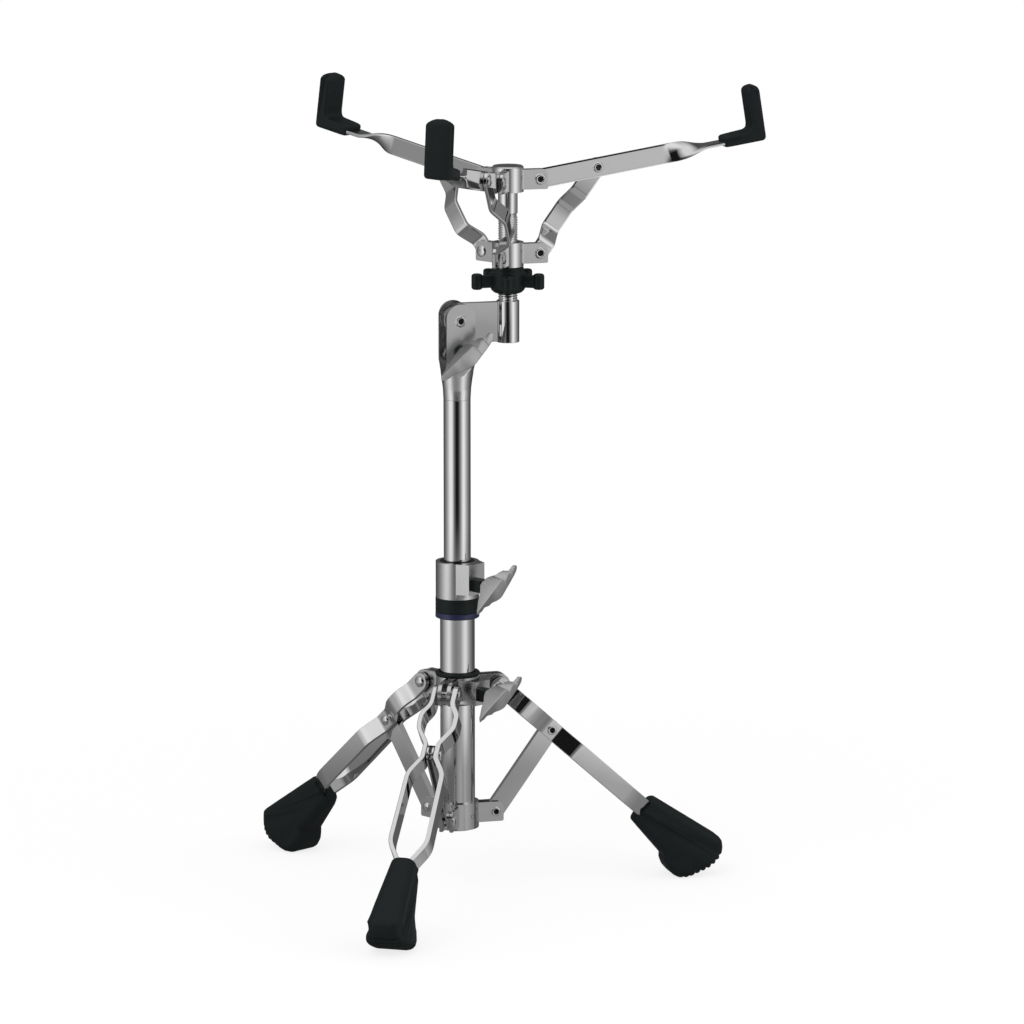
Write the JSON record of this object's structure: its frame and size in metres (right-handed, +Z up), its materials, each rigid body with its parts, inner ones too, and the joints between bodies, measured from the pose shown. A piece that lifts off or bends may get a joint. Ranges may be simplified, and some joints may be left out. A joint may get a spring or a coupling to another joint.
{
  "type": "snare drum stand",
  "caption": "Folding snare drum stand: a braced tripod, a telescopic clamped mast, an offset tilter and a screw-adjusted basket with rubber-tipped arms.",
  "frame": {"origin": "on the floor, on the axis of the base tube", "axes": "+Z up along the base tube; +X horizontal from the base tube toward the offset basket rod, above the first leg and along the first basket arm; +Y completes the right-handed frame"},
  "size_m": [0.3846, 0.4026, 0.6631],
  "materials": {
    "chrome": "bright chrome plating on steel",
    "cast_metal": "satin chrome plating on die-cast metal",
    "black_rubber": "matte black moulded rubber",
    "black_plastic": "black moulded plastic",
    "violet_plastic": "dark violet moulded plastic"
  },
  "bodies": {
    "base": {"base_tube": "chrome", "tube_plug": "black_plastic", "height_clamp": "cast_metal", "clamp_nut": "black_plastic", "clamp_bolt": "chrome", "base_bush": "black_plastic", "trim_ring": "violet_plastic", "leg_hub": "chrome", "leg_hub_rivets": "chrome"},
    "clamp_wing": {"clamp_wing": "cast_metal"},
    "swivel_sleeve": {"swivel_sleeve": "black_plastic"},
    "column": {"upper_tube": "chrome", "tilt_fork": "chrome", "tilt_discs": "cast_metal", "tilt_pin": "chrome", "tilt_bolt": "chrome"},
    "tilt_wing": {"tilt_wing": "cast_metal"},
    "tilt_head": {"tilt_bracket": "chrome", "rod_socket": "chrome", "basket_rod": "chrome", "top_hub": "chrome", "top_hub_rivets": "chrome", "top_cap": "chrome"},
    "basket_slider": {"low_hub": "chrome", "low_hub_liner": "black_plastic", "low_hub_rivets": "chrome"},
    "adjust_nut": {"adjust_nut": "black_plastic"},
    "collar": {"leg_collar": "cast_metal", "collar_ring": "black_plastic", "collar_nut": "black_plastic", "collar_bolt": "chrome", "collar_rivets": "chrome"},
    "collar_wing": {"collar_wing": "cast_metal"},
    "leg_1": {"leg_bar_1a": "chrome", "leg_bar_1b": "chrome", "leg_rivet_1": "chrome", "foot_1": "black_rubber"},
    "brace_1": {"brace_1": "chrome"},
    "arm_1": {"arm_1": "chrome", "arm_rivet_1": "chrome", "tip_1": "black_rubber"},
    "strut_1": {"strut_1": "chrome"},
    "leg_2": {"leg_bar_2a": "chrome", "leg_bar_2b": "chrome", "leg_rivet_2": "chrome", "foot_2": "black_rubber"},
    "brace_2": {"brace_2": "chrome"},
    "arm_2": {"arm_2": "chrome", "arm_rivet_2": "chrome", "tip_2": "black_rubber"},
    "strut_2": {"strut_2": "chrome"},
    "leg_3": {"leg_bar_3a": "chrome", "leg_bar_3b": "chrome", "leg_rivet_3": "chrome", "foot_3": "black_rubber"},
    "brace_3": {"brace_3": "chrome"},
    "arm_3": {"arm_3": "chrome", "arm_rivet_3": "chrome", "tip_3": "black_rubber"},
    "strut_3": {"strut_3": "chrome"}
  },
  "joints": [
    {"name": "clamp_wing_turn", "type": "hinge", "parent": "base", "child": "clamp_wing", "pos_m": [0.01545, -0.02676, 0.2608], "axis": [0.5, -0.866, 0], "range_deg": [-180, 360]},
    {"name": "mast_swivel", "type": "hinge", "parent": "base", "child": "swivel_sleeve", "pos_m": [0, 0, 0.25], "axis": [0, 0, 1], "continuous": true},
    {"name": "mast_height", "type": "slide", "parent": "swivel_sleeve", "child": "column", "axis": [0, 0, 1], "range_m": [-0.13, 0.035]},
    {"name": "basket_tilt", "type": "hinge", "parent": "column", "child": "tilt_head", "pos_m": [0, 0, 0.4782], "axis": [0, 1, 0], "range_deg": [-9, 34]},
    {"name": "tilt_wing_turn", "type": "hinge", "parent": "column", "child": "tilt_wing", "pos_m": [0, -0.0197, 0.4532], "axis": [0, -1, 0], "range_deg": [-180, 360]},
    {"name": "basket_slide", "type": "slide", "parent": "tilt_head", "child": "basket_slider", "axis": [0, 0, 1], "range_m": [-0.006, 0.012]},
    {"name": "nut_turn", "type": "hinge", "parent": "basket_slider", "child": "adjust_nut", "pos_m": [0.043, 0, 0.5093], "axis": [0, 0, 1], "range_deg": [-1080.5, 2160.5]},
    {"name": "leg_fold", "type": "slide", "parent": "base", "child": "collar", "axis": [0, 0, 1], "range_m": [-0.004, 0.028]},
    {"name": "collar_wing_turn", "type": "hinge", "parent": "collar", "child": "collar_wing", "pos_m": [0.0176, -0.03048, 0.1701], "axis": [0.5, -0.866, 0], "range_deg": [-180, 360]},
    {"name": "leg_hinge_1", "type": "hinge", "parent": "collar", "child": "leg_1", "pos_m": [0.034, 0, 0.1727], "axis": [0, 1, 0], "range_deg": [-3.69, 25.67]},
    {"name": "brace_hinge_1", "type": "hinge", "parent": "base", "child": "brace_1", "pos_m": [0.0313, 0, 0.0657], "axis": [0, -1, 0], "range_deg": [-2.47, 17.19]},
    {"name": "arm_hinge_1", "type": "hinge", "parent": "tilt_head", "child": "arm_1", "pos_m": [0.0694, 0, 0.591], "axis": [0, -1, 0], "range_deg": [-8.34, 16.67]},
    {"name": "strut_hinge_1", "type": "hinge", "parent": "basket_slider", "child": "strut_1", "pos_m": [0.0694, 0, 0.5304], "axis": [0, -1, 0], "range_deg": [-1.42, 2.81]},
    {"name": "leg_hinge_2", "type": "hinge", "parent": "collar", "child": "leg_2", "pos_m": [-0.017, 0.02944, 0.1727], "axis": [-0.866, -0.5, 0], "range_deg": [-3.69, 25.67]},
    {"name": "brace_hinge_2", "type": "hinge", "parent": "base", "child": "brace_2", "pos_m": [-0.01565, 0.02711, 0.0657], "axis": [0.866, 0.5, 0], "range_deg": [-2.47, 17.19]},
    {"name": "arm_hinge_2", "type": "hinge", "parent": "tilt_head", "child": "arm_2", "pos_m": [0.0298, 0.02286, 0.591], "axis": [0.866, 0.5, 0], "range_deg": [-8.34, 16.67]},
    {"name": "strut_hinge_2", "type": "hinge", "parent": "basket_slider", "child": "strut_2", "pos_m": [0.0298, 0.02286, 0.5304], "axis": [0.866, 0.5, 0], "range_deg": [-1.42, 2.81]},
    {"name": "leg_hinge_3", "type": "hinge", "parent": "collar", "child": "leg_3", "pos_m": [-0.017, -0.02944, 0.1727], "axis": [0.866, -0.5, 0], "range_deg": [-3.69, 25.67]},
    {"name": "brace_hinge_3", "type": "hinge", "parent": "base", "child": "brace_3", "pos_m": [-0.01565, -0.02711, 0.0657], "axis": [-0.866, 0.5, 0], "range_deg": [-2.47, 17.19]},
    {"name": "arm_hinge_3", "type": "hinge", "parent": "tilt_head", "child": "arm_3", "pos_m": [0.0298, -0.02286, 0.591], "axis": [-0.866, 0.5, 0], "range_deg": [-8.34, 16.67]},
    {"name": "strut_hinge_3", "type": "hinge", "parent": "basket_slider", "child": "strut_3", "pos_m": [0.0298, -0.02286, 0.5304], "axis": [-0.866, 0.5, 0], "range_deg": [-1.42, 2.81]}
  ],
  "couplings": [
    {"joint": "nut_turn", "follows": "basket_slide", "rad_per_m": 3141.6},
    {"joint": "leg_hinge_1", "follows": "leg_fold", "rad_per_m": 15.991},
    {"joint": "brace_hinge_1", "follows": "leg_fold", "rad_per_m": 10.702},
    {"joint": "arm_hinge_1", "follows": "basket_slide", "rad_per_m": 24.211},
    {"joint": "strut_hinge_1", "follows": "basket_slide", "rad_per_m": 4.0633},
    {"joint": "leg_hinge_2", "follows": "leg_fold", "rad_per_m": 15.991},
    {"joint": "brace_hinge_2", "follows": "leg_fold", "rad_per_m": 10.702},
    {"joint": "arm_hinge_2", "follows": "basket_slide", "rad_per_m": 24.211},
    {"joint": "strut_hinge_2", "follows": "basket_slide", "rad_per_m": 4.0633},
    {"joint": "leg_hinge_3", "follows": "leg_fold", "rad_per_m": 15.991},
    {"joint": "brace_hinge_3", "follows": "leg_fold", "rad_per_m": 10.702},
    {"joint": "arm_hinge_3", "follows": "basket_slide", "rad_per_m": 24.211},
    {"joint": "strut_hinge_3", "follows": "basket_slide", "rad_per_m": 4.0633}
  ]
}
